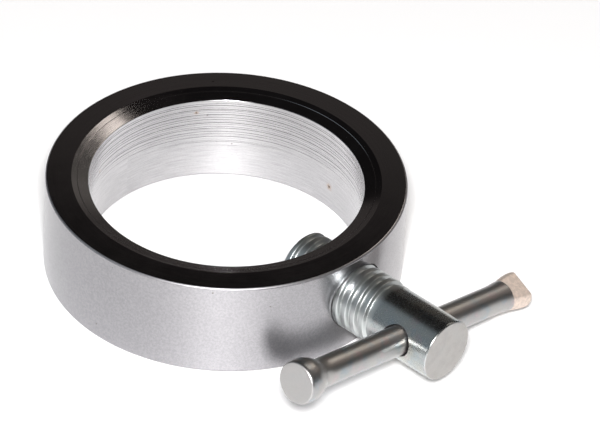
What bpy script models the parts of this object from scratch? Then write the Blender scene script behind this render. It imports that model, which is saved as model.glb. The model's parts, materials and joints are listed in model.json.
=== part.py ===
"""Clamp collar for a 2 inch shaft or tube.

A turned ring, a right-hand 1/2 inch clamp screw through its wall, a thrust pad seated in
the screw's inner end, and a tommy bar that slides through the screw's outer end.

Frame: the origin is on the ring's axis, in its lower face. +Z runs up the ring's axis, and +X runs
out along the clamp screw.
"""

import math

import bmesh
import bpy

MM = 0.001
COLLECTION = "shaft_collar"
CUTTERS = "cutters"
MERGE = 0.00001  # merge distance that is small beside the finest detail

# Ring
RING_OUTER_R = 33.34 * MM
RING_BORE_R = 25.42 * MM
RING_HEIGHT = 19.05 * MM
MOUTH_R = 28.55 * MM  # where the bore's shallow mouth chamfer meets the end face
MOUTH_DEPTH = 0.97 * MM
RIM_ROUND = 0.47 * MM  # rounding of the outer edges
RING_STEPS = 96

# Thread, 1/2 inch, right hand: 12 turns an inch, shallow, with wide flat crests
PITCH = 25.4 / 12 * MM
THREAD_DEPTH = 0.315 * PITCH
ROOT_FLAT = 0.155  # parts of one pitch
FLANK = 0.182
CREST_R = 6.25 * MM
ROOT_R = CREST_R - THREAD_DEPTH
THREAD_STEPS = 40  # facets in one turn
GROOVE_FADE = 0.3  # turns over which the groove starts or runs out
CREST_FADE = 0.4  # turns over which the last crest sinks to the shank's radius
CREST_ENDS = 0.6  # turns before the groove's end at which that crest has gone
THREAD_GAP = 0.3 * MM  # from the screw's crests and roots to the tapped hole's

# Clamp screw. Its x positions are distances from the ring's axis.
SCREW_Z = 10.42 * MM
SCREW_TIP_X = 19.74 * MM
SCREW_END_X = 55.2 * MM
SHANK_R = 5.88 * MM
THREAD_END_X = 43.38 * MM
GROOVE_X = 20.41 * MM  # a groove starts here on the screw's own +Y side
END_BEVEL = 0.36 * MM
BAR_HOLE_X = 47.82 * MM
BAR_HOLE_R = 3.02 * MM
REST_TURN = math.radians(-10.8)  # leaves the bar's headed end the higher one

# Thrust pad
PAD_FACE_X = 19.38 * MM
PAD_HEAD_R = 3.75 * MM
PAD_HEAD_LENGTH = 1.67 * MM
PAD_STEM_R = 2.3 * MM
PAD_LENGTH = 4.8 * MM
PAD_BEVEL = 0.3 * MM
GAP = 0.3 * MM  # between pieces that fit into one another

# Tommy bar. Its positions are distances from the clamp screw's axis.
BAR_R = 2.73 * MM
BAR_HEAD_Y = -32.5 * MM
BAR_HEAD_R = 4.06 * MM
BAR_FACE_R = 3.65 * MM  # flat part of the head's face
BAR_FACE_ROUND = 0.94 * MM  # length of the rounding behind the face
BAR_HEAD_WIDEST = 1.98 * MM  # distance from the face to where the underside starts
BAR_HEAD_LENGTH = 5.63 * MM
BAR_PRESSED_Y = 28.96 * MM
PRESSED_LENGTH = 4.8 * MM
PRESSED_LEAD = 3.33 * MM  # length over which the bar swells before the pressed flats
PRESSED_SWELL = 0.23 * MM
PRESSED_HALF_WIDTH = 3.54 * MM
PRESSED_HALF_THICKNESS = 1.93 * MM
PRESSED_STEP = 0.26 * MM  # length of the step down to the flats
PRESSED_ROUND = 0.36 * MM
BAR_SPIN = math.radians(24)  # of the pressed flats about the bar's own axis
BAR_STEPS = 40


def clear_scene():
    for obj in list(bpy.data.objects):
        bpy.data.objects.remove(obj, do_unlink=True)


def make_collection(name):
    collection = bpy.data.collections.new(name)
    bpy.context.scene.collection.children.link(collection)
    return collection


def make_material(name, colour, roughness):
    material = bpy.data.materials.new(name)
    material.use_nodes = True
    shader = material.node_tree.nodes["Principled BSDF"]
    shader.inputs["Base Color"].default_value = (*colour, 1.0)
    shader.inputs["Metallic"].default_value = 1.0
    shader.inputs["Roughness"].default_value = roughness
    material.diffuse_color = (*colour, 1.0)
    return material


def add_object(name, mesh, collection, material=None):
    obj = bpy.data.objects.new(name, mesh)
    collection.objects.link(obj)
    if material:
        mesh.materials.append(material)
    return obj


def add_cutter(name, mesh, collection):
    cutter = add_object(name, mesh, collection)
    cutter.hide_render = True
    cutter.display_type = "WIRE"
    return cutter


def cut(obj, cutter):
    boolean = obj.modifiers.new(cutter.name, "BOOLEAN")
    boolean.operation = "DIFFERENCE"
    boolean.solver = "EXACT"
    boolean.object = cutter


def arc(centre_r, centre_z, radius, start_deg, end_deg, pieces):
    """Points (r, z) along an arc, both ends included."""
    points = []
    for i in range(pieces + 1):
        angle = math.radians(start_deg + (end_deg - start_deg) * i / pieces)
        points.append((centre_r + radius * math.cos(angle), centre_z + radius * math.sin(angle)))
    return points


def turned_mesh(name, outline, closed):
    """The outline (r, z) of a turned shape as edges, for a Screw modifier."""
    mesh = bpy.data.meshes.new(name)
    edges = [(i, i + 1) for i in range(len(outline) - 1)]
    if closed:
        edges.append((len(outline) - 1, 0))
    mesh.from_pydata([(r, 0.0, z) for r, z in outline], edges, [])
    return mesh


def turn(obj, steps):
    """Revolves the object's outline about its own Z axis."""
    screw = obj.modifiers.new("turned", "SCREW")
    screw.axis = "Z"
    screw.angle = 2 * math.pi
    screw.steps = steps
    screw.render_steps = steps
    screw.use_merge_vertices = True
    screw.merge_threshold = MERGE
    screw.use_smooth_shade = True


def along_x(obj):
    """Lays a shape that was made along its own Z axis along the clamp screw's axis."""
    obj.rotation_euler = (0.0, math.pi / 2, 0.0)
    obj.location = (0.0, 0.0, SCREW_Z)


def circle(bm, x, radius, first_angle):
    """One plain circle of vertices about the X axis."""
    ring = []
    for j in range(THREAD_STEPS):
        angle = first_angle + 2 * math.pi * j / THREAD_STEPS
        ring.append(bm.verts.new((x, radius * math.cos(angle), radius * math.sin(angle))))
    return ring


def join_circles(bm, low, high):
    for j in range(THREAD_STEPS):
        k = (j + 1) % THREAD_STEPS
        bm.faces.new((low[j], low[k], high[k], high[j]))


def threaded_mesh(name, start_x, end_x, root_r, crest_r, plain_r, low_x, high_x):
    """A right-hand threaded rod about the X axis, as one closed mesh.

    The groove winds from start_x to end_x. It starts at the root radius, and it runs out into
    plain_r at its high end, where the last crest sinks to plain_r first. Plain stretches go on
    from there to low_x and to high_x.
    Row c of the helix holds vertex k at turn k / THREAD_STEPS, and the helix's fifth row is its
    first row one turn later.
    """
    rows = ((0.0, root_r), (ROOT_FLAT, root_r), (ROOT_FLAT + FLANK, crest_r), (1 - FLANK, crest_r))
    last = round(((end_x - start_x) / PITCH - 1) * THREAD_STEPS)
    bm = bmesh.new()

    def point(part, radius, k):
        turns = k / THREAD_STEPS
        turns_left = (last - k) / THREAD_STEPS
        cut_r = root_r + (radius - root_r) * min(1.0, turns / GROOVE_FADE)
        if cut_r < plain_r:
            fade = turns_left / GROOVE_FADE
        else:
            fade = (turns_left - CREST_ENDS) / CREST_FADE
        r = plain_r + (cut_r - plain_r) * max(0.0, min(1.0, fade))
        angle = 2 * math.pi * turns
        x = start_x + PITCH * (turns + part)
        return bm.verts.new((x, r * math.cos(angle), r * math.sin(angle)))

    helix = [[point(part, radius, k) for k in range(last + 1)] for part, radius in rows]
    helix[0] += [point(0.0, root_r, k) for k in range(last + 1, last + THREAD_STEPS + 1)]

    def strip(k):
        return [row[k] for row in helix] + [helix[0][k + THREAD_STEPS]]

    for k in range(last):
        near, far = strip(k), strip(k + 1)
        for c in range(len(rows)):
            bm.faces.new((near[c], far[c], far[c + 1], near[c + 1]))

    # the wedge below the first turn, closed by a circle that shares the helix's first vertex
    low = circle(bm, start_x, root_r, 0.0)
    bm.verts.remove(low[0])
    low[0] = helix[0][0]
    bm.faces.new((low[0], low[1], helix[0][1]))
    for j in range(1, THREAD_STEPS - 1):
        bm.faces.new((low[j], low[j + 1], helix[0][j + 1], helix[0][j]))
    bm.faces.new((low[-1], *strip(0), helix[0][THREAD_STEPS - 1]))

    # the wedge above the last turn, closed in the same way
    high_x_of_groove = start_x + PITCH * (last / THREAD_STEPS + 1)
    high = circle(bm, high_x_of_groove, plain_r, 2 * math.pi * last / THREAD_STEPS)
    bm.verts.remove(high[0])
    high[0] = helix[0][-1]
    bm.faces.new((helix[0][last], helix[0][last + 1], high[1], *reversed(strip(last)[1:])))
    for j in range(1, THREAD_STEPS - 1):
        bm.faces.new((helix[0][last + j], helix[0][last + j + 1], high[j + 1], high[j]))
    bm.faces.new((helix[0][-2], high[0], high[-1]))

    low_end = circle(bm, low_x, root_r, 0.0)
    join_circles(bm, low_end, low)
    bm.faces.new(low_end)
    for x, radius in ((high_x - END_BEVEL, plain_r), (high_x, plain_r - END_BEVEL)):
        ring = circle(bm, x, radius, 2 * math.pi * last / THREAD_STEPS)
        join_circles(bm, high, ring)
        high = ring
    bm.faces.new(high)
    bmesh.ops.recalc_face_normals(bm, faces=bm.faces)
    mesh = bpy.data.meshes.new(name)
    bm.to_mesh(mesh)
    bm.free()
    return mesh


def cylinder_mesh(name, radius, length):
    """A closed cylinder centred on the origin, along Z."""
    bm = bmesh.new()
    bmesh.ops.create_cone(
        bm, cap_ends=True, segments=BAR_STEPS, radius1=radius, radius2=radius, depth=length
    )
    mesh = bpy.data.meshes.new(name)
    bm.to_mesh(mesh)
    bm.free()
    return mesh


def smooth(mesh):
    mesh.shade_smooth()
    mesh.set_sharp_from_angle(angle=math.radians(30))


def ring_outline():
    """The ring's section, from the outer top edge down, then back up the bore."""
    inner = RING_OUTER_R - RIM_ROUND
    top = arc(inner, RING_HEIGHT - RIM_ROUND, RIM_ROUND, 90, 0, 3)
    bottom = arc(inner, RIM_ROUND, RIM_ROUND, 0, -90, 3)
    bore = [
        (MOUTH_R, 0.0),
        (RING_BORE_R, MOUTH_DEPTH),
        (RING_BORE_R, RING_HEIGHT - MOUTH_DEPTH),
        (MOUTH_R, RING_HEIGHT),
    ]
    return top + bottom + bore


def build_ring(parts, cutters):
    """The collar ring: turned, and tapped through its wall for the clamp screw."""
    chrome = make_material("collar_ring", (0.80, 0.79, 0.80), 0.12)
    mesh = turned_mesh("collar_ring", ring_outline(), closed=True)
    ring = add_object("collar_ring", mesh, parts, chrome)
    turn(ring, RING_STEPS)

    tap_start = GROOVE_X
    tap_end = RING_OUTER_R + 3 * PITCH
    tap_root = ROOT_R + THREAD_GAP
    tap_crest = CREST_R + THREAD_GAP
    ends = (tap_start - PITCH, tap_end + PITCH)
    tap_mesh = threaded_mesh("tap", tap_start, tap_end, tap_root, tap_crest, tap_root, *ends)
    tap = add_cutter("tap", tap_mesh, cutters)
    tap.location = (0.0, 0.0, SCREW_Z)
    tap.rotation_euler = (REST_TURN, 0.0, 0.0)
    cut(ring, tap)
    return ring


def build_screw(parts, cutters):
    """The clamp screw: threaded, faced at its tip, drilled for the bar and bored for the pad."""
    steel = make_material("clamp_screw", (0.66, 0.68, 0.68), 0.28)
    start_x = GROOVE_X - 2 * PITCH
    mesh = threaded_mesh(
        "clamp_screw", start_x, THREAD_END_X, ROOT_R, CREST_R, SHANK_R, start_x - PITCH, SCREW_END_X
    )
    smooth(mesh)
    screw = add_object("clamp_screw", mesh, parts, steel)
    screw.location = (0.0, 0.0, SCREW_Z)
    screw.rotation_euler = (REST_TURN, 0.0, 0.0)

    # faces the tip, bevels its edge and bores the pad's seat, all in one turned cutter
    seat_r = PAD_HEAD_R + GAP
    seat_x = PAD_FACE_X + PAD_HEAD_LENGTH + GAP
    stem_r = PAD_STEM_R + GAP
    stem_x = PAD_FACE_X + PAD_LENGTH + GAP
    clear_r = CREST_R + 2 * END_BEVEL
    outline = [
        (0.0, stem_x),
        (stem_r, stem_x),
        (stem_r, seat_x),
        (seat_r, seat_x),
        (seat_r, SCREW_TIP_X),
        (CREST_R - END_BEVEL, SCREW_TIP_X),
        (clear_r, SCREW_TIP_X + 3 * END_BEVEL),
        (clear_r, start_x - 2 * PITCH),
        (0.0, start_x - 2 * PITCH),
    ]
    facing = add_cutter("facing", turned_mesh("facing", outline, closed=False), cutters)
    turn(facing, THREAD_STEPS)
    along_x(facing)
    cut(screw, facing)

    drill = add_cutter("bar_drill", cylinder_mesh("bar_drill", BAR_HOLE_R, 4 * SHANK_R), cutters)
    drill.parent = screw
    drill.location = (BAR_HOLE_X, 0.0, 0.0)
    drill.rotation_euler = (math.pi / 2, 0.0, 0.0)
    cut(screw, drill)
    return screw


def build_pad(parts):
    """The thrust pad: a stepped plug in the screw's inner end, which bears on the shaft."""
    steel = make_material("thrust_pad", (0.58, 0.58, 0.57), 0.35)
    outline = [
        (0.0, PAD_FACE_X + PAD_LENGTH),
        (PAD_STEM_R, PAD_FACE_X + PAD_LENGTH),
        (PAD_STEM_R, PAD_FACE_X + PAD_HEAD_LENGTH),
        (PAD_HEAD_R, PAD_FACE_X + PAD_HEAD_LENGTH),
        (PAD_HEAD_R, PAD_FACE_X + PAD_BEVEL),
        (PAD_HEAD_R - PAD_BEVEL, PAD_FACE_X),
        (0.0, PAD_FACE_X),
    ]
    pad = add_object("thrust_pad", turned_mesh("thrust_pad", outline, closed=False), parts, steel)
    turn(pad, BAR_STEPS)
    along_x(pad)
    return pad


def head_stations():
    """(y, half width, half height) of the bar's upset head, from its face to its neck."""
    stations = []
    for i in range(5):
        angle = math.pi / 2 * i / 4
        r = BAR_FACE_R + (BAR_HEAD_R - BAR_FACE_R) * math.sin(angle)
        stations.append((BAR_HEAD_Y + BAR_FACE_ROUND * (1 - math.cos(angle)), r, r))
    for i in range(7):
        part = i / 6
        r = BAR_R + (BAR_HEAD_R - BAR_R) * math.cos(part * math.pi / 2)
        y = BAR_HEAD_Y + BAR_HEAD_WIDEST + part * (BAR_HEAD_LENGTH - BAR_HEAD_WIDEST)
        stations.append((y, r, r))
    return stations


def pressed_stations():
    """(y, half width, half thickness) of the bar's pressed end, which can't pass the screw's hole."""
    shoulder = BAR_PRESSED_Y - PRESSED_LENGTH
    stations = []
    for i in range(5):
        part = i / 4
        swell = PRESSED_SWELL * math.sin(part * math.pi / 2) ** 2
        stations.append((shoulder - (1 - part) * PRESSED_LEAD, BAR_R + swell, BAR_R))
    flats_start = shoulder + PRESSED_STEP
    flats_end = BAR_PRESSED_Y - PRESSED_ROUND
    narrow = BAR_R + PRESSED_SWELL
    for i in range(6):
        part = i / 5
        width = narrow + (PRESSED_HALF_WIDTH - narrow) * math.sin(part * math.pi / 2)
        y = flats_start + part * (flats_end - flats_start)
        stations.append((y, width, PRESSED_HALF_THICKNESS))
    end_width = PRESSED_HALF_WIDTH - PRESSED_ROUND
    end_thickness = PRESSED_HALF_THICKNESS - PRESSED_ROUND
    stations.append((BAR_PRESSED_Y, end_width, end_thickness))
    return stations


def bar_section(bm, y, half_width, half_thickness):
    """One section: an ellipse of the bar's height whose top and bottom are pressed flat."""
    height = max(BAR_R, half_thickness)
    ring = []
    for j in range(BAR_STEPS):
        angle = 2 * math.pi * (j + 0.5) / BAR_STEPS
        u = half_width * math.cos(angle)
        v = max(-half_thickness, min(half_thickness, height * math.sin(angle)))
        x = u * math.cos(BAR_SPIN) + v * math.sin(BAR_SPIN)
        z = v * math.cos(BAR_SPIN) - u * math.sin(BAR_SPIN)
        ring.append(bm.verts.new((x, y, z)))
    return ring


def build_bar(parts, screw):
    """The tommy bar: round stock with an upset head, and one end pressed flat after it went in."""
    steel = make_material("tommy_bar", (0.62, 0.60, 0.57), 0.30)
    bm = bmesh.new()
    rings = [bar_section(bm, *station) for station in head_stations() + pressed_stations()]
    for near, far in zip(rings, rings[1:]):
        for j in range(BAR_STEPS):
            k = (j + 1) % BAR_STEPS
            bm.faces.new((near[j], near[k], far[k], far[j]))
    bm.faces.new(rings[0])
    bm.faces.new(rings[-1])
    bmesh.ops.recalc_face_normals(bm, faces=bm.faces)
    mesh = bpy.data.meshes.new("tommy_bar")
    bm.to_mesh(mesh)
    bm.free()
    smooth(mesh)
    bar = add_object("tommy_bar", mesh, parts, steel)
    bar.parent = screw
    bar.location = (BAR_HOLE_X, 0.0, 0.0)
    return bar


def main():
    clear_scene()
    parts = make_collection(COLLECTION)
    cutters = make_collection(CUTTERS)
    build_ring(parts, cutters)
    screw = build_screw(parts, cutters)
    build_pad(parts)
    build_bar(parts, screw)


main()
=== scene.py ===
"""The looks of the shaft collar: fine plated-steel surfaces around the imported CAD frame.

Each CAD node is replaced by a finer piece of the same size. Lengths are in metres, in the row
frame: +Z is the ring's axis and +X the clamp screw's axis.
"""

import json
import math

import bmesh
import bpy
from mathutils import Matrix, Vector, noise


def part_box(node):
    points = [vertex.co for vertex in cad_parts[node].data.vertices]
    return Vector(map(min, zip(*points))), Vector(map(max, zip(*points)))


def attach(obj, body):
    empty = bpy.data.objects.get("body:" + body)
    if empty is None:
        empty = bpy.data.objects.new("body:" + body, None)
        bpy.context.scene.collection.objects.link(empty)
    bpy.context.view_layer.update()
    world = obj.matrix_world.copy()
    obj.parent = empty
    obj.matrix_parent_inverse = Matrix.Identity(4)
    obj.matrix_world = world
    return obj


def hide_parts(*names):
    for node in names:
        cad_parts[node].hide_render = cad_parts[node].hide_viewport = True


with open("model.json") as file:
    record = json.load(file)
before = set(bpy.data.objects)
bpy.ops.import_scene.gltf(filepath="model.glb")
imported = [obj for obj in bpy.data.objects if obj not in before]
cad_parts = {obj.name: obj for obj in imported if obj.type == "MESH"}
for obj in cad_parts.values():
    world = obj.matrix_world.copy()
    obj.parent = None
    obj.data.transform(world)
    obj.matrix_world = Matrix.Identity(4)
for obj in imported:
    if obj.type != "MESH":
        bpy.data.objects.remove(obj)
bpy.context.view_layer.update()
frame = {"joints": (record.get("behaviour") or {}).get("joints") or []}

MM = 0.001
MERGE = 0.000002

# sizes read off the CAD frame
RING_LOW, RING_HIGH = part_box("collar_ring")
SCREW_LOW, SCREW_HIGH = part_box("clamp_screw")
PAD_LOW, PAD_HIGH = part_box("thrust_pad")
TURN_JOINT = next(j for j in frame["joints"] if j["name"] == "screw_turn")
SLIDE_JOINT = next(j for j in frame["joints"] if j["name"] == "bar_slide")
RING_R = RING_HIGH.x
RING_HEIGHT = RING_HIGH.z
SCREW_AXIS = Vector((0.0, 0.0, TURN_JOINT["pos_m"][2]))
BAR_CENTRE = Vector(TURN_JOINT["pos_m"])
BAR_AXIS = Vector(SLIDE_JOINT["axis"])
REST_TURN = math.atan2(BAR_AXIS.z, BAR_AXIS.y)  # how far the bar's pressed end hangs below level

# ring
BORE_R = 25.42 * MM
MOUTH_R = 28.55 * MM
MOUTH_DEPTH = 0.97 * MM
RIM_ROUND = 0.47 * MM
EDGE_BREAK = 0.12 * MM
RING_STEPS = 288

# thread
PITCH = 25.4 / 12 * MM
CREST_R = 6.25 * MM
ROOT_R = CREST_R - 0.315 * PITCH
ROOT_FLAT = 0.155  # parts of one pitch
FLANK = 0.182
THREAD_GAP = 0.3 * MM
THREAD_STEPS = 96
GROOVE_FADE = 0.3
CREST_FADE = 0.4
CREST_ENDS = 0.6
GROOVE_X = 20.41 * MM
THREAD_END_X = 43.38 * MM
SHANK_R = 5.88 * MM
TIP_BEVEL = 0.36 * MM
END_BEVEL = 0.36 * MM
BAR_HOLE_R = 3.02 * MM

# thrust pad
PAD_HEAD_R = 3.75 * MM
PAD_HEAD_LENGTH = 1.67 * MM
PAD_STEM_R = 2.3 * MM
PAD_BEVEL = 0.3 * MM
SEAT_GAP = 0.3 * MM

# tommy bar
BAR_R = 2.73 * MM
HEAD_Y = -32.5 * MM
HEAD_R = 4.06 * MM
HEAD_FACE_R = 3.65 * MM
HEAD_FACE_ROUND = 0.94 * MM
HEAD_WIDEST = 1.98 * MM
HEAD_LENGTH = 5.63 * MM
PRESSED_Y = 28.96 * MM
PRESSED_LENGTH = 4.8 * MM
PRESSED_LEAD = 3.33 * MM
PRESSED_SWELL = 0.23 * MM
PRESSED_HALF_WIDTH = 3.54 * MM
PRESSED_HALF_THICKNESS = 1.93 * MM
PRESSED_STEP = 0.26 * MM
PRESSED_ROUND = 0.36 * MM
BAR_SPIN = math.radians(24)
BAR_STEPS = 96

# camera
VIEW_TARGET = Vector((10.45, 9.189, 9.377)) * MM
VIEW_BACK = Vector((0.5255, -0.5981, 0.6051)).normalized()  # from the target to the camera
VIEW_DISTANCE = 0.8886
VIEW_ROLL = math.radians(3.37)
VIEW_LENS = 288.3
SENSOR_WIDTH = 36.0


# ---------------------------------------------------------------- geometry


def arc(centre_r, centre_z, radius, start_deg, end_deg, pieces):
    points = []
    for i in range(pieces + 1):
        angle = math.radians(start_deg + (end_deg - start_deg) * i / pieces)
        points.append((centre_r + radius * math.cos(angle), centre_z + radius * math.sin(angle)))
    return points


def new_object(name, mesh):
    obj = bpy.data.objects.new(name, mesh)
    bpy.context.scene.collection.objects.link(obj)
    return obj


def new_mesh(name, bm, smooth_angle=30):
    bmesh.ops.recalc_face_normals(bm, faces=bm.faces)
    mesh = bpy.data.meshes.new(name)
    bm.to_mesh(mesh)
    bm.free()
    mesh.shade_smooth()
    mesh.set_sharp_from_angle(angle=math.radians(smooth_angle))
    return mesh


def turned(name, outline, steps, closed=False):
    """A mesh turned about Z from an outline of (r, z) points, which joins the axis if it's open."""
    bm = bmesh.new()
    columns = []
    for r, z in outline:
        if r < MERGE:
            columns.append([bm.verts.new((0.0, 0.0, z))])
            continue
        ring = []
        for j in range(steps):
            angle = 2 * math.pi * j / steps
            ring.append(bm.verts.new((r * math.cos(angle), r * math.sin(angle), z)))
        columns.append(ring)
    pairs = list(zip(columns, columns[1:]))
    if closed:
        pairs.append((columns[-1], columns[0]))
    for near, far in pairs:
        for j in range(steps):
            k = (j + 1) % steps
            corners = [near[j % len(near)], near[k % len(near)], far[k % len(far)], far[j % len(far)]]
            corners = list(dict.fromkeys(corners))
            if len(corners) > 2:
                bm.faces.new(corners)
    return new_mesh(name, bm)


def thread_radius(part, root, crest):
    """The radius at a part of one pitch: a narrow root, two flanks and a wide crest, corners rounded."""
    crest_centre = (1 + ROOT_FLAT) / 2
    from_crest = abs((part - crest_centre + 0.5) % 1.0 - 0.5)
    half_crest = (1 - ROOT_FLAT) / 2 - FLANK
    flank = crest - (crest - root) * (from_crest - half_crest) / FLANK
    rounding = 0.05 * MM
    above = (root + flank + math.hypot(root - flank, rounding)) / 2
    return (crest + above - math.hypot(crest - above, rounding)) / 2


def thread_parts():
    """Where along one pitch the thread's rows lie: close together at its four edges."""
    edges = (0.0, ROOT_FLAT, ROOT_FLAT + FLANK, 1 - FLANK)
    parts = [0.08, 0.21, 0.25, 0.29, 0.45, 0.58, 0.70, 0.86, 0.91, 0.95]
    for edge in edges:
        parts += [edge, edge + 0.02, (edge - 0.02) % 1.0]
    return sorted(parts)


def threaded_mesh(name, start_x, end_x, root, crest, plain_r, low_x, high_x, bevel):
    """A right-hand threaded rod about X as one closed mesh, with plain stretches at both ends."""
    parts = thread_parts()
    last = round(((end_x - start_x) / PITCH - 1) * THREAD_STEPS)
    bm = bmesh.new()

    def point(part, k):
        turns = k / THREAD_STEPS
        turns_left = (last - k) / THREAD_STEPS
        cut_r = root + (thread_radius(part, root, crest) - root) * min(1.0, turns / GROOVE_FADE)
        if cut_r < plain_r:
            next_groove = 1.0 if part > 0.5 else 0.0
            fade = (turns_left - next_groove) / GROOVE_FADE
        else:
            fade = (turns_left - CREST_ENDS) / CREST_FADE
        r = plain_r + (cut_r - plain_r) * max(0.0, min(1.0, fade))
        angle = 2 * math.pi * turns
        return bm.verts.new((start_x + PITCH * (turns + part), r * math.cos(angle), r * math.sin(angle)))

    def circle(x, radius, first_angle, shared=None):
        ring = []
        for j in range(THREAD_STEPS):
            if j == 0 and shared:
                ring.append(shared)
                continue
            angle = first_angle + 2 * math.pi * j / THREAD_STEPS
            ring.append(bm.verts.new((x, radius * math.cos(angle), radius * math.sin(angle))))
        return ring

    def join(low, high):
        for j in range(THREAD_STEPS):
            k = (j + 1) % THREAD_STEPS
            bm.faces.new((low[j], low[k], high[k], high[j]))

    helix = [[point(part, k) for k in range(last + 1)] for part in parts]
    helix[0] += [point(0.0, k) for k in range(last + 1, last + THREAD_STEPS + 1)]

    def strip(k):
        return [row[k] for row in helix] + [helix[0][k + THREAD_STEPS]]

    for k in range(last):
        near, far = strip(k), strip(k + 1)
        for c in range(len(parts)):
            bm.faces.new((near[c], far[c], far[c + 1], near[c + 1]))
    low = circle(start_x, root, 0.0, shared=helix[0][0])
    bm.faces.new((low[0], low[1], helix[0][1]))
    for j in range(1, THREAD_STEPS - 1):
        bm.faces.new((low[j], low[j + 1], helix[0][j + 1], helix[0][j]))
    bm.faces.new((low[-1], *strip(0), helix[0][THREAD_STEPS - 1]))
    top_angle = 2 * math.pi * last / THREAD_STEPS
    top_x = start_x + PITCH * (last / THREAD_STEPS + 1)
    high = circle(top_x, plain_r, top_angle, shared=helix[0][-1])
    bm.faces.new((helix[0][last], helix[0][last + 1], high[1], *reversed(strip(last)[1:])))
    for j in range(1, THREAD_STEPS - 1):
        bm.faces.new((helix[0][last + j], helix[0][last + j + 1], high[j + 1], high[j]))
    bm.faces.new((helix[0][-2], high[0], high[-1]))

    low_end = circle(low_x, root, 0.0)
    join(low_end, low)
    bm.faces.new(low_end)
    for along, inwards in arc(-bevel, -bevel, bevel, 90, 0, 4):
        ring = circle(high_x + along, plain_r + inwards, top_angle)
        join(high, ring)
        high = ring
    bm.faces.new(high)
    return new_mesh(name, bm, smooth_angle=40)


def lay_along_x(obj):
    obj.rotation_euler = (0.0, math.pi / 2, 0.0)
    obj.location = SCREW_AXIS


def cut(obj, *cutters):
    """Cuts the cutters out of obj, applies the result and removes them. Cut faces take material 1."""
    for cutter in cutters:
        boolean = obj.modifiers.new(cutter.name, "BOOLEAN")
        boolean.operation = "DIFFERENCE"
        boolean.solver = "EXACT"
        boolean.material_mode = "TRANSFER"
        boolean.object = cutter
    apply_all(obj)
    for cutter in cutters:
        bpy.data.objects.remove(cutter, do_unlink=True)


def apply_all(obj):
    bpy.context.view_layer.update()
    evaluated = obj.evaluated_get(bpy.context.evaluated_depsgraph_get())
    mesh = bpy.data.meshes.new_from_object(evaluated)
    mesh.name = obj.name
    obj.modifiers.clear()
    obj.data = mesh


def round_normals(mesh, axis, is_round):
    """Shades faces of a turned surface as truly round about an axis through the mesh's origin."""
    along = Vector(axis)
    normals = [Vector((0.0, 0.0, 0.0))] * len(mesh.loops)
    for face in mesh.polygons:
        if not is_round(face):
            continue
        outwards = face.center - along * face.center.dot(along)
        axial = face.normal.dot(along)
        radial = math.sqrt(max(0.0, 1 - axial * axial))
        if face.normal.dot(outwards) < 0:
            radial = -radial
        for loop in face.loop_indices:
            co = mesh.vertices[mesh.loops[loop].vertex_index].co
            spoke = co - along * co.dot(along)
            if spoke.length < MERGE:
                normals[loop] = face.normal.copy()
            else:
                normals[loop] = (spoke.normalized() * radial + along * axial).normalized()
    mesh.normals_split_custom_set(normals)


# ---------------------------------------------------------------- pieces


def bore_grooves():
    """(z, width, depth) of the tool marks left in the bore, which fade out towards its foot."""
    grooves = []
    z = RING_HEIGHT - MOUTH_DEPTH - 0.75 * MM
    i = 0
    while z > 0.30 * RING_HEIGHT:
        strength = 0.5 + 0.5 * math.sin(2.4 * i)
        fading = min(1.0, 0.25 + 2.2 * (z / RING_HEIGHT - 0.30))
        grooves.append((z, (0.08 + 0.06 * strength) * MM, (0.007 + 0.022 * strength) * fading * MM))
        z -= (0.40 + 0.11 * math.sin(1.7 * i)) * MM
        i += 1
    return grooves


def ring_outline():
    inner = RING_R - RIM_ROUND
    top = RING_HEIGHT
    slope = math.degrees(math.atan2(MOUTH_DEPTH, MOUTH_R - BORE_R))
    outline = arc(inner, top - RIM_ROUND, RIM_ROUND, 90, 0, 8)
    outline += arc(inner, RIM_ROUND, RIM_ROUND, 0, -90, 8)
    reach = EDGE_BREAK * math.tan(math.radians(slope / 2))
    outline += arc(MOUTH_R + reach, EDGE_BREAK, EDGE_BREAK, -90, -90 - slope, 2)
    corner = EDGE_BREAK * math.tan(math.radians((90 - slope) / 2))
    outline += arc(BORE_R + EDGE_BREAK, MOUTH_DEPTH + corner, EDGE_BREAK, -90 - slope, -180, 5)
    for z, width, depth in reversed(bore_grooves()):
        outline += [(BORE_R, z - width / 2), (BORE_R + depth, z), (BORE_R, z + width / 2)]
    outline += arc(BORE_R + EDGE_BREAK, top - MOUTH_DEPTH - corner, EDGE_BREAK, 180, 90 + slope, 5)
    groove_r = BORE_R + 0.66 * (MOUTH_R - BORE_R)
    for offset, depth in ((-0.06, 0.0), (0.0, 0.02), (0.06, 0.0)):
        r = groove_r + offset * MM
        on_slope = top - MOUTH_DEPTH * (MOUTH_R - r) / (MOUTH_R - BORE_R)
        outline.append((r, on_slope - depth * MM))
    outline += arc(MOUTH_R + reach, top - EDGE_BREAK, EDGE_BREAK, 90 + slope, 90, 2)
    return outline


def build_ring(chrome, inside):
    ring = new_object("plated_ring", turned("plated_ring", ring_outline(), RING_STEPS, closed=True))
    ring.data.materials.append(chrome)
    tap_root = ROOT_R + THREAD_GAP
    tap_crest = CREST_R + THREAD_GAP
    tap_end = RING_R + 3 * PITCH
    ends = (GROOVE_X - PITCH, tap_end + PITCH)
    tap_mesh = threaded_mesh("tap", GROOVE_X, tap_end, tap_root, tap_crest, tap_root, *ends, END_BEVEL)
    tap = new_object("tap", tap_mesh)
    tap.rotation_euler = (REST_TURN, 0.0, 0.0)
    tap.location = SCREW_AXIS
    tap.data.materials.append(inside)
    cut(ring, tap)
    round_normals(ring.data, (0, 0, 1), lambda face: face.material_index == 0)
    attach(ring, "ring")
    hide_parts("collar_ring")
    return ring


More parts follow.
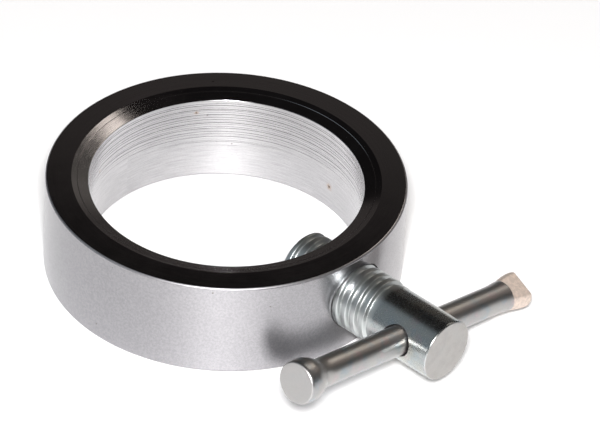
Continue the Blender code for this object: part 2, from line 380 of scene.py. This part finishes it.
def build_screw(zinc, inside):
    start_x = GROOVE_X - 2 * PITCH
    ends = (start_x - PITCH, SCREW_HIGH.x)
    mesh = threaded_mesh("zinc_screw", start_x, THREAD_END_X, ROOT_R, CREST_R, SHANK_R, *ends, END_BEVEL)
    screw = new_object("zinc_screw", mesh)
    screw.data.materials.append(zinc)
    screw.location = SCREW_AXIS
    screw.rotation_euler = (REST_TURN, 0.0, 0.0)

    tip_x = SCREW_LOW.x
    seat_r = PAD_HEAD_R + SEAT_GAP
    seat_x = PAD_LOW.x + PAD_HEAD_LENGTH + SEAT_GAP
    stem_r = PAD_STEM_R + SEAT_GAP
    stem_x = PAD_HIGH.x + SEAT_GAP
    clear_r = CREST_R + 2 * TIP_BEVEL
    outline = [(0.0, stem_x), (stem_r, stem_x), (stem_r, seat_x), (seat_r, seat_x)]
    outline += [(seat_r, tip_x + EDGE_BREAK), (seat_r + EDGE_BREAK, tip_x), (CREST_R - TIP_BEVEL, tip_x)]
    outline += [(clear_r, tip_x + 3 * TIP_BEVEL), (clear_r, start_x - 2 * PITCH), (0.0, start_x - 2 * PITCH)]
    facing = new_object("facing", turned("facing", outline, THREAD_STEPS))
    lay_along_x(facing)
    reach = 2 * SHANK_R
    flare = 0.18 * MM
    edge_y = SHANK_R - 0.55 * MM
    outline = [(0.0, reach), (BAR_HOLE_R + 4 * flare, reach), (BAR_HOLE_R + flare, edge_y + 0.6 * MM)]
    outline += [(BAR_HOLE_R, edge_y), (BAR_HOLE_R, -edge_y)]
    outline += [(BAR_HOLE_R + flare, -edge_y - 0.6 * MM), (BAR_HOLE_R + 4 * flare, -reach), (0.0, -reach)]
    drill = new_object("bar_drill", turned("bar_drill", outline, THREAD_STEPS))
    drill.rotation_euler = (math.pi / 2 + REST_TURN, 0.0, 0.0)
    drill.location = BAR_CENTRE
    facing.data.materials.append(zinc)
    drill.data.materials.append(inside)
    cut(screw, facing, drill)
    shank_start = THREAD_END_X + 0.02 * MM
    round_normals(
        screw.data,
        (1, 0, 0),
        lambda face: face.material_index == 0 and face.center.x > shank_start,
    )
    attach(screw, "screw")
    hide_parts("clamp_screw")
    return screw


def build_pad(steel):
    face_x, end_x = PAD_LOW.x, PAD_HIGH.x
    step_x = face_x + PAD_HEAD_LENGTH
    outline = [(0.0, end_x), (PAD_STEM_R - PAD_BEVEL, end_x), (PAD_STEM_R, end_x - PAD_BEVEL)]
    outline += [(PAD_STEM_R, step_x), (PAD_HEAD_R - EDGE_BREAK, step_x), (PAD_HEAD_R, step_x - EDGE_BREAK)]
    outline += [(r, x) for r, x in arc(PAD_HEAD_R - PAD_BEVEL, face_x + PAD_BEVEL, PAD_BEVEL, 0, -90, 6)]
    outline += [(0.5 * MM, face_x), (0.0, face_x + 0.25 * MM)]
    pad = new_object("steel_pad", turned("steel_pad", outline, THREAD_STEPS))
    pad.data.materials.append(steel)
    lay_along_x(pad)
    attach(pad, "pad")
    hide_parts("thrust_pad")
    return pad


def bar_stations():
    """(y, half width, half thickness) along the bar, from its upset head to its pressed end."""
    stations = []
    for i in range(5):
        stations.append((HEAD_Y, HEAD_FACE_R * (0.2 + 0.2 * i), HEAD_FACE_R * (0.2 + 0.2 * i)))
    for i in range(1, 11):
        angle = math.pi / 2 * i / 10
        r = HEAD_FACE_R + (HEAD_R - HEAD_FACE_R) * math.sin(angle)
        stations.append((HEAD_Y + HEAD_FACE_ROUND * (1 - math.cos(angle)), r, r))
    for i in range(15):
        part = i / 14
        r = BAR_R + (HEAD_R - BAR_R) * math.cos(part * math.pi / 2)
        stations.append((HEAD_Y + HEAD_WIDEST + part * (HEAD_LENGTH - HEAD_WIDEST), r, r))
    shoulder = PRESSED_Y - PRESSED_LENGTH
    start, end = stations[-1][0], shoulder - PRESSED_LEAD
    for i in range(1, 24):
        stations.append((start + (end - start) * i / 24, BAR_R, BAR_R))
    for i in range(9):
        part = i / 8
        swell = PRESSED_SWELL * math.sin(part * math.pi / 2) ** 2
        stations.append((shoulder - (1 - part) * PRESSED_LEAD, BAR_R + swell, BAR_R))
    flats_start = shoulder + PRESSED_STEP
    flats_end = PRESSED_Y - PRESSED_ROUND
    narrow = BAR_R + PRESSED_SWELL
    for i in range(19):
        part = i / 18
        width = narrow + (PRESSED_HALF_WIDTH - narrow) * math.sin(part * math.pi / 2)
        stations.append((flats_start + part * (flats_end - flats_start), width, PRESSED_HALF_THICKNESS))
    for i in range(1, 5):
        angle = math.pi / 2 * i / 4
        inset = PRESSED_ROUND * (1 - math.cos(angle))
        y = flats_end + PRESSED_ROUND * math.sin(angle)
        stations.append((y, PRESSED_HALF_WIDTH - inset, PRESSED_HALF_THICKNESS - inset))
    return stations


def hammered(co):
    """A small uneven shift, for what was upset or pressed by force."""
    coarse = noise.noise(co * 420.0)
    fine = noise.noise(co * 1600.0 + Vector((3.1, 5.7, 1.3)))
    return (0.07 * coarse + 0.03 * fine) * MM


def build_bar(zinc):
    shoulder = PRESSED_Y - PRESSED_LENGTH
    bm = bmesh.new()
    rings = []
    for y, half_width, half_thickness in bar_stations():
        ring = []
        height = max(BAR_R, half_thickness)
        pressed = y > shoulder + PRESSED_STEP / 2
        for j in range(BAR_STEPS):
            angle = 2 * math.pi * (j + 0.5) / BAR_STEPS
            u = half_width * math.cos(angle)
            v = max(-half_thickness, min(half_thickness, height * math.sin(angle)))
            if pressed:
                push = hammered(Vector((u, y, v)))
                v += math.copysign(push, v)
                u *= 1 + push / PRESSED_HALF_WIDTH
            elif y < HEAD_Y + HEAD_LENGTH:
                swell = 1 + 0.6 * hammered(Vector((u, y, v))) / HEAD_R
                u *= swell
                v *= swell
            x = u * math.cos(BAR_SPIN) + v * math.sin(BAR_SPIN)
            z = v * math.cos(BAR_SPIN) - u * math.sin(BAR_SPIN)
            ring.append(bm.verts.new((x, y, z)))
        rings.append(ring)
    for near, far in zip(rings, rings[1:]):
        for j in range(BAR_STEPS):
            k = (j + 1) % BAR_STEPS
            bm.faces.new((near[j], near[k], far[k], far[j]))
    bm.faces.new(rings[0])
    bm.faces.new(rings[-1])
    bar = new_object("zinc_bar", new_mesh("zinc_bar", bm, smooth_angle=38))
    bar.data.materials.append(zinc)
    bar.location = BAR_CENTRE
    bar.rotation_euler = (REST_TURN, 0.0, 0.0)
    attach(bar, "bar")
    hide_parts("tommy_bar")
    return bar


# ---------------------------------------------------------------- materials


class Graph:
    """Short ways to add and link shader nodes."""

    def __init__(self, name):
        self.material = bpy.data.materials.new(name)
        self.material.use_nodes = True
        self.tree = self.material.node_tree
        self.shader = self.tree.nodes["Principled BSDF"]

    def add(self, kind, **settings):
        node = self.tree.nodes.new(kind)
        for key, value in settings.items():
            setattr(node, key, value)
        return node

    def feed(self, socket, value):
        if isinstance(value, bpy.types.NodeSocket):
            self.tree.links.new(value, socket)
        else:
            socket.default_value = value

    def maths(self, operation, a, b=0.0, clamp=False):
        node = self.add("ShaderNodeMath", operation=operation, use_clamp=clamp)
        self.feed(node.inputs[0], a)
        self.feed(node.inputs[1], b)
        return node.outputs[0]

    def times(self, a, b):
        return self.maths("MULTIPLY", a, b)

    def plus(self, a, b, clamp=False):
        return self.maths("ADD", a, b, clamp)

    def ramp(self, value, low, high, to_low=0.0, to_high=1.0):
        """value mapped from low..high to to_low..to_high, smoothly, and held beyond them."""
        node = self.add("ShaderNodeMapRange", interpolation_type="SMOOTHSTEP")
        for socket, item in zip(node.inputs, (value, low, high, to_low, to_high)):
            self.feed(socket, item)
        return node.outputs[0]

    def mix(self, factor, a, b):
        node = self.add("ShaderNodeMix", data_type="RGBA")
        self.feed(node.inputs["Factor"], factor)
        colours = [s for s in node.inputs if s.type == "RGBA"]
        for socket, value in zip(colours, (a, b)):
            self.feed(socket, (*value, 1.0) if isinstance(value, tuple) else value)
        return next(s for s in node.outputs if s.type == "RGBA")

    def noise(self, vector, scale, detail=2.0, roughness=0.5):
        node = self.add("ShaderNodeTexNoise")
        self.feed(node.inputs["Vector"], vector)
        self.feed(node.inputs["Scale"], scale)
        self.feed(node.inputs["Detail"], detail)
        self.feed(node.inputs["Roughness"], roughness)
        return node.outputs["Fac"]

    def position(self):
        return self.add("ShaderNodeTexCoord").outputs["Object"]

    def axes(self, vector):
        node = self.add("ShaderNodeSeparateXYZ")
        self.feed(node.inputs[0], vector)
        return node.outputs

    def vector(self, x, y, z):
        node = self.add("ShaderNodeCombineXYZ")
        for socket, value in zip(node.inputs, (x, y, z)):
            self.feed(socket, value)
        return node.outputs[0]

    def radius(self, a, b):
        return self.maths("SQRT", self.plus(self.times(a, a), self.times(b, b)))

    def bump(self, height, distance, strength=1.0):
        node = self.add("ShaderNodeBump")
        self.feed(node.inputs["Height"], height)
        self.feed(node.inputs["Distance"], distance)
        self.feed(node.inputs["Strength"], strength)
        return node.outputs["Normal"]

    def finish(self, colour, roughness, normal, metallic=1.0):
        self.feed(self.shader.inputs["Base Color"], colour)
        self.feed(self.shader.inputs["Roughness"], roughness)
        self.feed(self.shader.inputs["Normal"], normal)
        self.feed(self.shader.inputs["Metallic"], metallic)
        return self.material


def specks(graph, position, cell, size, share):
    """A mask of small round specks: one in a share of the cells, each about size across."""
    voronoi = graph.add("ShaderNodeTexVoronoi")
    graph.feed(voronoi.inputs["Vector"], position)
    graph.feed(voronoi.inputs["Scale"], 1 / cell)
    near = graph.ramp(voronoi.outputs["Distance"], 0.3 * size / cell, 0.6 * size / cell, 1.0, 0.0)
    chosen = graph.maths("LESS_THAN", graph.axes(voronoi.outputs["Color"])[0], share)
    return graph.times(near, chosen)


def spot(graph, position, centre, radius):
    """A mask that is 1 at centre and fades to 0 at radius, with an uneven edge."""
    node = graph.add("ShaderNodeVectorMath", operation="DISTANCE")
    graph.feed(node.inputs[0], position)
    node.inputs[1].default_value = centre
    ragged = graph.times(graph.noise(position, 3500.0), radius)
    distance = graph.plus(node.outputs["Value"], ragged)
    return graph.ramp(distance, 0.4 * radius, 1.3 * radius, 1.0, 0.0)


def tinted(graph, position, colour):
    """The blotchy blue, green and pink tints of bright zinc plating, laid over colour."""
    blue = graph.ramp(graph.noise(position, 330.0, 4.0, 0.6), 0.50, 0.72)
    shifted = graph.add("ShaderNodeVectorMath", operation="ADD")
    graph.feed(shifted.inputs[0], position)
    shifted.inputs[1].default_value = (0.05, 0.02, 0.07)
    pink = graph.ramp(graph.noise(shifted.outputs["Vector"], 450.0, 4.0, 0.6), 0.52, 0.74)
    colour = graph.mix(graph.times(blue, 0.55), colour, (0.290, 0.375, 0.430))
    return graph.mix(graph.times(pink, 0.55), colour, (0.500, 0.395, 0.420))


def on_bore(azimuth_deg, z):
    angle = math.radians(azimuth_deg)
    return (BORE_R * math.cos(angle), BORE_R * math.sin(angle), z)


def ring_material():
    g = Graph("ring_chrome_fine")
    position = g.position()
    x, y, z = g.axes(position)
    r = g.radius(x, y)
    angle = g.maths("ARCTAN2", y, x)
    lathe = g.vector(g.times(angle, 0.6), g.times(r, 900.0), g.times(z, 900.0))
    broad = g.vector(g.times(angle, 0.8), g.times(r, 260.0), g.times(z, 260.0))
    lines = g.noise(lathe, 6.0, 3.0, 0.65)
    bands = g.noise(broad, 5.0, 2.0)
    mottle = g.noise(position, 240.0, 4.0, 0.6)
    grain = g.noise(position, 5200.0, 2.0)

    outer = g.ramp(r, RING_R - RIM_ROUND, RING_R - 0.5 * RIM_ROUND)
    inside_wall = g.ramp(r, RING_R - 0.1 * RIM_ROUND, RING_R - 0.02 * RIM_ROUND, 1.0, 0.0)
    rim = g.times(outer, inside_wall)
    bore = g.ramp(r, BORE_R + 0.08 * MM, BORE_R + 0.16 * MM, 1.0, 0.0)
    inside_mouth = g.ramp(r, MOUTH_R - 0.03 * MM, MOUTH_R + 0.03 * MM, 1.0, 0.0)
    mouth = g.times(inside_mouth, g.maths("SUBTRACT", 1.0, bore))
    roughness = g.plus(0.085, g.times(outer, 0.16))
    roughness = g.plus(roughness, g.times(bore, 0.13))
    roughness = g.plus(roughness, g.times(rim, 0.20))
    roughness = g.plus(roughness, g.times(mouth, 0.05))
    roughness = g.plus(roughness, g.times(g.maths("SUBTRACT", lines, 0.5), 0.10))
    roughness = g.plus(roughness, g.times(g.maths("SUBTRACT", mottle, 0.5), 0.10), clamp=True)

    colour = g.mix(g.ramp(mottle, 0.3, 0.7), (0.450, 0.440, 0.457), (0.485, 0.477, 0.492))
    colour = g.mix(g.times(g.ramp(grain, 0.45, 0.8), 0.2), colour, (0.38, 0.37, 0.38))
    pebbled = g.noise(position, 2300.0, 3.0, 0.6)
    wall = g.mix(g.ramp(pebbled, 0.32, 0.68), (0.362, 0.354, 0.368), (0.308, 0.303, 0.315))
    colour = g.mix(outer, colour, wall)
    around = g.vector(g.times(angle, 5.0), 0.0, g.times(z, 6200.0))
    streaks = g.noise(around, 1.0, 3.0, 0.6)
    turned_bore = g.mix(g.ramp(streaks, 0.34, 0.66), (0.388, 0.382, 0.392), (0.492, 0.487, 0.492))
    pits = g.times(g.ramp(pebbled, 0.45, 0.7), 0.35)
    colour = g.mix(bore, colour, g.mix(pits, turned_bore, (0.37, 0.36, 0.37)))
    dark = specks(g, position, 3.4 * MM, 0.36 * MM, 0.34)
    colour = g.mix(g.times(dark, 0.75), colour, (0.12, 0.10, 0.09))
    for azimuth, height, size in ((83.0, 5.6, 1.4), (146.7, 15.4, 0.85), (201.0, 12.1, 0.65)):
        rust = spot(g, position, on_bore(azimuth, height * MM), size * MM)
        colour = g.mix(g.times(rust, 0.6), colour, (0.42, 0.27, 0.15))
        core = spot(g, position, on_bore(azimuth, height * MM), 0.45 * size * MM)
        colour = g.mix(core, colour, (0.05, 0.035, 0.03))

    height = g.plus(g.times(lines, 0.6), g.times(bands, 0.5))
    height = g.plus(height, g.times(grain, 0.25))
    height = g.maths("SUBTRACT", height, g.times(dark, 1.5))
    return g.finish(colour, roughness, g.bump(height, 0.006 * MM, 0.6))


def inside_material():
    """Bare cut steel: the tapped hole and the wall of the bar's hole."""
    g = Graph("cut_steel")
    position = g.position()
    cloudy = g.noise(position, 700.0, 4.0, 0.6)
    colour = g.mix(cloudy, (0.20, 0.19, 0.19), (0.34, 0.33, 0.33))
    roughness = g.ramp(cloudy, 0.3, 0.7, 0.38, 0.55)
    return g.finish(colour, roughness, g.bump(g.noise(position, 2600.0, 3.0), 0.01 * MM, 0.5))


def screw_material():
    g = Graph("screw_zinc_fine")
    position = g.position()
    x, y, z = g.axes(position)
    r = g.radius(y, z)
    angle = g.maths("ARCTAN2", z, y)
    lathe = g.vector(g.times(angle, 0.7), g.times(x, 900.0), g.times(r, 900.0))
    lines = g.noise(lathe, 5.0, 3.0, 0.6)
    tint = g.noise(position, 170.0, 3.0, 0.55)
    grain = g.noise(position, 3600.0, 3.0, 0.6)
    face = g.ramp(x, SCREW_HIGH.x - 0.12 * MM, SCREW_HIGH.x - 0.03 * MM)
    thread = g.ramp(x, THREAD_END_X - 2.4 * MM, THREAD_END_X - 1.2 * MM, 1.0, 0.0)
    colour = g.mix(g.ramp(tint, 0.35, 0.65), (0.385, 0.412, 0.414), (0.425, 0.430, 0.400))
    colour = tinted(g, position, colour)
    colour = g.mix(g.times(g.ramp(grain, 0.5, 0.85), 0.35), colour, (0.28, 0.285, 0.29))
    colour = g.mix(g.times(thread, 0.7), colour, (0.560, 0.590, 0.590))
    blotch = g.ramp(g.noise(position, 520.0, 4.0, 0.6), 0.42, 0.68)
    face_colour = g.mix(g.times(blotch, 0.5), (0.455, 0.440, 0.425), (0.375, 0.350, 0.345))
    colour = g.mix(g.times(face, 0.85), colour, face_colour)
    dark = specks(g, position, 3.0 * MM, 0.34 * MM, 0.25)
    colour = g.mix(g.times(dark, 0.7), colour, (0.10, 0.10, 0.10))
    roughness = g.plus(0.26, g.times(g.maths("SUBTRACT", grain, 0.5), 0.25))
    roughness = g.plus(roughness, g.times(thread, 0.11))
    roughness = g.plus(roughness, g.times(face, 0.24), clamp=True)
    height = g.plus(g.times(lines, 0.6), g.times(grain, 0.6))
    return g.finish(colour, roughness, g.bump(height, 0.013 * MM, 0.6))


def bar_material():
    g = Graph("bar_zinc_fine")
    position = g.position()
    x, y, z = g.axes(position)
    drawn = g.vector(g.times(x, 1500.0), g.times(y, 90.0), g.times(z, 1500.0))
    draw_marks = g.noise(drawn, 1.0, 4.0, 0.6)
    tint = g.noise(position, 150.0, 3.0, 0.55)
    grain = g.noise(position, 3000.0, 3.0, 0.6)
    face = g.ramp(y, HEAD_Y + 0.06 * MM, HEAD_Y + 0.16 * MM, 1.0, 0.0)
    pressed = g.ramp(y, PRESSED_Y - PRESSED_LENGTH, PRESSED_Y - PRESSED_LENGTH + PRESSED_STEP)
    matt = g.maths("MAXIMUM", face, pressed)
    colour = g.mix(g.ramp(tint, 0.35, 0.65), (0.400, 0.400, 0.403), (0.430, 0.425, 0.412))
    colour = tinted(g, position, colour)
    colour = g.mix(g.times(g.ramp(grain, 0.5, 0.85), 0.3), colour, (0.27, 0.265, 0.265))
    colour = g.mix(g.times(face, 0.85), colour, (0.455, 0.445, 0.438))
    crushed = g.ramp(g.noise(position, 1500.0, 3.0, 0.6), 0.35, 0.65)
    beige = g.mix(crushed, (0.740, 0.610, 0.520), (0.590, 0.490, 0.420))
    colour = g.mix(g.times(pressed, 0.85), colour, beige)
    roughness = g.plus(0.37, g.times(g.maths("SUBTRACT", grain, 0.5), 0.2))
    roughness = g.plus(roughness, g.times(matt, 0.12), clamp=True)
    height = g.plus(g.times(draw_marks, 0.7), g.times(grain, 0.6))
    dents = g.times(g.noise(position, 1100.0, 4.0, 0.65), 6.0)
    height = g.plus(height, g.times(pressed, dents))
    metallic = g.maths("SUBTRACT", 1.0, g.times(pressed, 0.5))
    return g.finish(colour, roughness, g.bump(height, 0.014 * MM, 0.6), metallic)


def pad_material():
    g = Graph("pad_steel_fine")
    position = g.position()
    x, y, z = g.axes(position)
    r = g.radius(x, y)
    facing = g.vector(g.times(r, 2200.0), 0.0, g.times(z, 2200.0))
    facing_marks = g.noise(facing, 3.0, 2.0)
    cloudy = g.noise(position, 900.0, 3.0)
    colour = g.mix(cloudy, (0.44, 0.44, 0.43), (0.58, 0.57, 0.56))
    roughness = g.ramp(cloudy, 0.3, 0.7, 0.28, 0.42)
    return g.finish(colour, roughness, g.bump(facing_marks, 0.01 * MM, 0.7))


# ---------------------------------------------------------------- studio


def direction(azimuth_deg, elevation_deg):
    a, e = math.radians(azimuth_deg), math.radians(elevation_deg)
    return Vector((math.cos(a) * math.cos(e), math.sin(a) * math.cos(e), math.sin(e)))


def add_camera():
    data = bpy.data.cameras.new("camera")
    data.lens = VIEW_LENS
    data.sensor_width = SENSOR_WIDTH
    data.clip_start = 0.05
    data.clip_end = 20.0
    camera = bpy.data.objects.new("camera", data)
    bpy.context.scene.collection.objects.link(camera)
    level = Vector((-VIEW_BACK.y, VIEW_BACK.x, 0.0)).normalized()
    steep = VIEW_BACK.cross(level)
    right = level * math.cos(VIEW_ROLL) + steep * math.sin(VIEW_ROLL)
    up = VIEW_BACK.cross(right)
    rotation = Matrix((right, up, VIEW_BACK)).transposed().to_4x4()
    camera.matrix_world = Matrix.Translation(VIEW_TARGET + VIEW_BACK * VIEW_DISTANCE) @ rotation
    bpy.context.scene.camera = camera
    return camera


def add_area_light(name, towards, distance, width, height, radiance, colour):
    """A rectangular light that faces the object, given by the brightness of its own surface."""
    data = bpy.data.lights.new(name, "AREA")
    data.shape = "RECTANGLE"
    data.size = width
    data.size_y = height
    data.color = colour
    data.energy = radiance * math.pi * width * height
    light = bpy.data.objects.new(name, data)
    bpy.context.scene.collection.objects.link(light)
    light.location = VIEW_TARGET + towards * distance
    light.rotation_euler = towards.to_track_quat("Z", "Y").to_euler()
    return light


def add_floor():
    """White paper with a soft sheen, so that it's brightest where it throws the flash onwards."""
    bpy.ops.mesh.primitive_plane_add(size=8.0, location=(0.0, 0.0, -0.05 * MM))
    floor = bpy.context.object
    floor.name = "floor"
    g = Graph("floor_paper")
    shade = g.noise(g.position(), 3.0)
    g.feed(g.shader.inputs["Base Color"], g.mix(shade, (0.86, 0.86, 0.865), (0.88, 0.88, 0.88)))
    g.shader.inputs["Roughness"].default_value = 0.58
    g.shader.inputs["IOR"].default_value = 2.4
    g.shader.inputs["Emission Color"].default_value = (1.0, 0.995, 1.0, 1.0)
    g.shader.inputs["Emission Strength"].default_value = 0.12
    floor.data.materials.append(g.material)
    return floor


def add_world():
    """A dark room: brown bands low on the far side, a slate blue wall on one side, dark overhead."""
    world = bpy.data.worlds.new("dark_room")
    world.use_nodes = True
    bpy.context.scene.world = world
    tree = world.node_tree
    background = tree.nodes["Background"]
    coordinates = tree.nodes.new("ShaderNodeTexCoord")
    total = None
    patches = (
        (direction(131, 16), 21.8, 19.8, (0.052, 0.046, 0.042)),
        (direction(100, 27), 22.0, 8.0, (0.105, 0.097, 0.086)),
        (direction(76, 30), 20.0, 8.0, (0.340, 0.275, 0.245)),
        (direction(-135, 32), 40.0, 26.0, (0.255, 0.295, 0.330)),
    )
    for towards, outer_deg, inner_deg, colour in patches:
        dot = tree.nodes.new("ShaderNodeVectorMath")
        dot.operation = "DOT_PRODUCT"
        tree.links.new(coordinates.outputs["Generated"], dot.inputs[0])
        dot.inputs[1].default_value = towards
        ramp = tree.nodes.new("ShaderNodeMapRange")
        ramp.interpolation_type = "SMOOTHSTEP"
        ramp.inputs["From Min"].default_value = math.cos(math.radians(outer_deg))
        ramp.inputs["From Max"].default_value = math.cos(math.radians(inner_deg))
        tree.links.new(dot.outputs["Value"], ramp.inputs["Value"])
        patch = tree.nodes.new("ShaderNodeVectorMath")
        patch.operation = "SCALE"
        patch.inputs[0].default_value = colour
        tree.links.new(ramp.outputs["Result"], patch.inputs["Scale"])
        add = tree.nodes.new("ShaderNodeVectorMath")
        add.operation = "ADD"
        tree.links.new(patch.outputs["Vector"], add.inputs[0])
        if total:
            tree.links.new(total, add.inputs[1])
        else:
            add.inputs[1].default_value = (0.009, 0.008, 0.008)
        total = add.outputs["Vector"]
    tree.links.new(total, background.inputs["Color"])
    background.inputs["Strength"].default_value = 1.0
    return world


def add_studio():
    bpy.context.scene.view_settings.view_transform = "Standard"
    add_floor()
    add_world()
    add_area_light("warm_panel", direction(93, 44), 1.25, 0.40, 0.42, 2.2, (1.0, 0.90, 0.80))
    flash = direction(-48.7, 41.0)
    add_area_light("flash", flash, 0.99, 0.146, 0.104, 380.0, (1.0, 0.99, 0.985))


def main():
    add_camera()
    chrome = ring_material()
    inside = inside_material()
    build_ring(chrome, inside)
    build_screw(screw_material(), inside)
    build_pad(pad_material())
    build_bar(bar_material())
    add_studio()


main()
